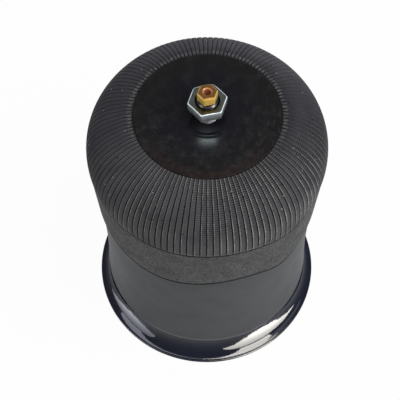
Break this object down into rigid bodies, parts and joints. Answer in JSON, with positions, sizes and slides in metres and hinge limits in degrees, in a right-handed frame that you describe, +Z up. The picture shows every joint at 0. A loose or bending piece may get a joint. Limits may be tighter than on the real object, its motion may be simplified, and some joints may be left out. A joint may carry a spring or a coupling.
{
  "type": "air suspension spring",
  "caption": "Rubber bellows air spring with a ribbed shoulder, guide can on a flared base, hollow top stud with nut and brass air union.",
  "frame": {"origin": "centre of the base, on the plane that the base stands on", "axes": "+Z up along the spring's axis, from the base to the mounting stud"},
  "size_m": [0.15, 0.15, 0.21],
  "materials": {
    "bellows_rubber": "matt moulded rubber with ribs and a rough cuff",
    "can_coating": "satin black-grey coating",
    "flange_gloss": "gloss black lacquer",
    "plate_black": "semi-gloss black",
    "pan_steel": "black cathodic dip coating",
    "zinc_steel": "bright zinc plating",
    "plain_steel": "turned steel",
    "brass": "turned brass",
    "seal_rubber": "smooth nitrile rubber",
    "bump_foam": "cellular polyurethane",
    "cup_plastic": "glass-filled nylon",
    "spacer_plastic": "natural nylon"
  },
  "bodies": {
    "base": {"base_flange": "flange_gloss", "base_pan": "pan_steel", "base_insert": "plain_steel", "pan_gasket": "seal_rubber", "guide_can": "can_coating", "bellows": "bellows_rubber", "cuff_bead_ring": "plain_steel", "bump_stop": "bump_foam", "bump_stop_cup": "cup_plastic", "cup_screw": "plain_steel"},
    "top": {"top_plate": "plate_black", "bead_retainer": "pan_steel", "upper_bead_ring": "plain_steel", "mounting_stud": "zinc_steel", "stud_seal": "seal_rubber", "union_seal": "seal_rubber", "seal_spacer": "spacer_plastic", "tube_seal": "seal_rubber"},
    "nut": {"stud_nut": "zinc_steel"},
    "collet": {"tube_collet": "brass"},
    "union": {"union_screw": "brass"}
  },
  "joints": [
    {"name": "stroke", "type": "slide", "parent": "base", "child": "top", "axis": [0, 0, 1], "range_m": [-0.045, 0.01], "stiffness_N_per_m": 15000, "deforming": ["bellows"]},
    {"name": "nut_turn", "type": "hinge", "parent": "top", "child": "nut", "pos_m": [0, 0, 0.1995], "axis": [0, 0, 1], "continuous": true},
    {"name": "collet_travel", "type": "slide", "parent": "top", "child": "collet", "axis": [0, 0, 1], "range_m": [0, 0.002]},
    {"name": "union_turn", "type": "hinge", "parent": "collet", "child": "union", "pos_m": [0, 0, 0.204], "axis": [0, 0, 1], "range_deg": [0, 720]}
  ],
  "couplings": [
    {"joint": "collet_travel", "follows": "union_turn", "m_per_rad": 0.00015915}
  ]
}
